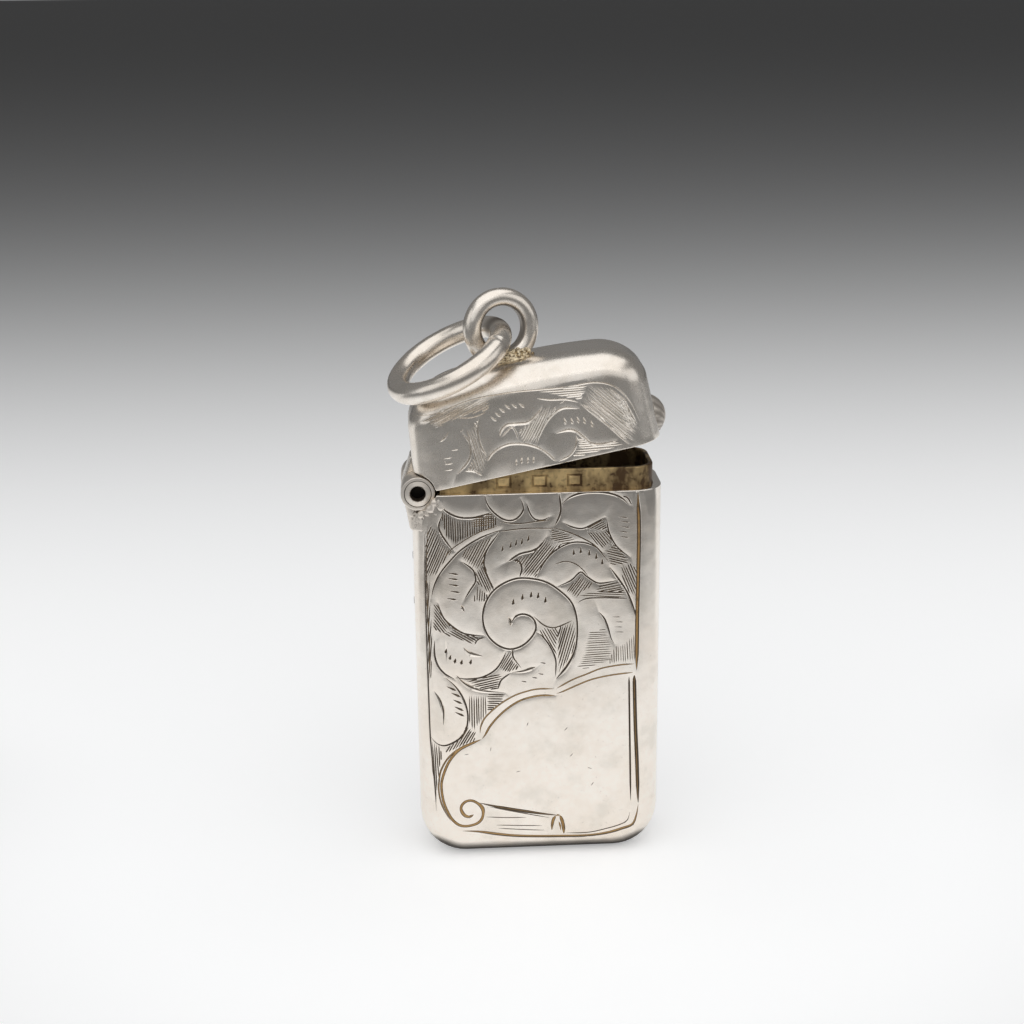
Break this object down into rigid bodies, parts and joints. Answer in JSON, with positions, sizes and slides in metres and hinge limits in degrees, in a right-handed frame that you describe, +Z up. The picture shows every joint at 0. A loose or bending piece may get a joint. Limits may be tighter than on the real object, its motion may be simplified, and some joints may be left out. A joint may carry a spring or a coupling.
{
  "type": "vesta case",
  "caption": "Flat round-edged silver pocket match case with an engraved front, a sprung hinged lid standing ajar, a gilt collar, a ribbed striker and a hanging ring on a fixed loop.",
  "frame": {"origin": "centre of the flat base that the case stands on", "axes": "+X toward the thumb piece, away from the hinge; -Y out of the engraved front; +Z up toward the lid"},
  "size_m": [0.0254, 0.0122, 0.0546],
  "materials": {
    "silver": "worn polished silver, dark in the engraving",
    "gilt": "tarnished gilding",
    "solder": "rough, granular",
    "steel": "dull"
  },
  "bodies": {
    "case": {"body_shell": "silver", "striker_plate": "silver", "collar": "gilt", "body_bearer": "silver", "front_knuckle": "silver", "rear_knuckle": "silver", "hinge_pin": "steel", "lid_spring": "steel", "spring_rivets": "steel"},
    "lid": {"lid_shell": "silver", "lid_bearer": "silver", "lid_knuckle": "silver", "thumb_piece": "silver", "loop": "silver", "loop_solder": "solder"},
    "hanging_ring": {"ring": "silver"}
  },
  "joints": [
    {"name": "lid_hinge", "type": "hinge", "parent": "case", "child": "lid", "pos_m": [-0.0109, 0, 0.0366], "axis": [0, -1, 0], "range_deg": [-11.5, 88.5]},
    {"name": "ring_swing", "type": "hinge", "parent": "lid", "child": "hanging_ring", "pos_m": [-0.00298, 0, 0.05097], "axis": [-0.3028, 0.9511, -0.0616], "range_deg": [0, 209]}
  ]
}
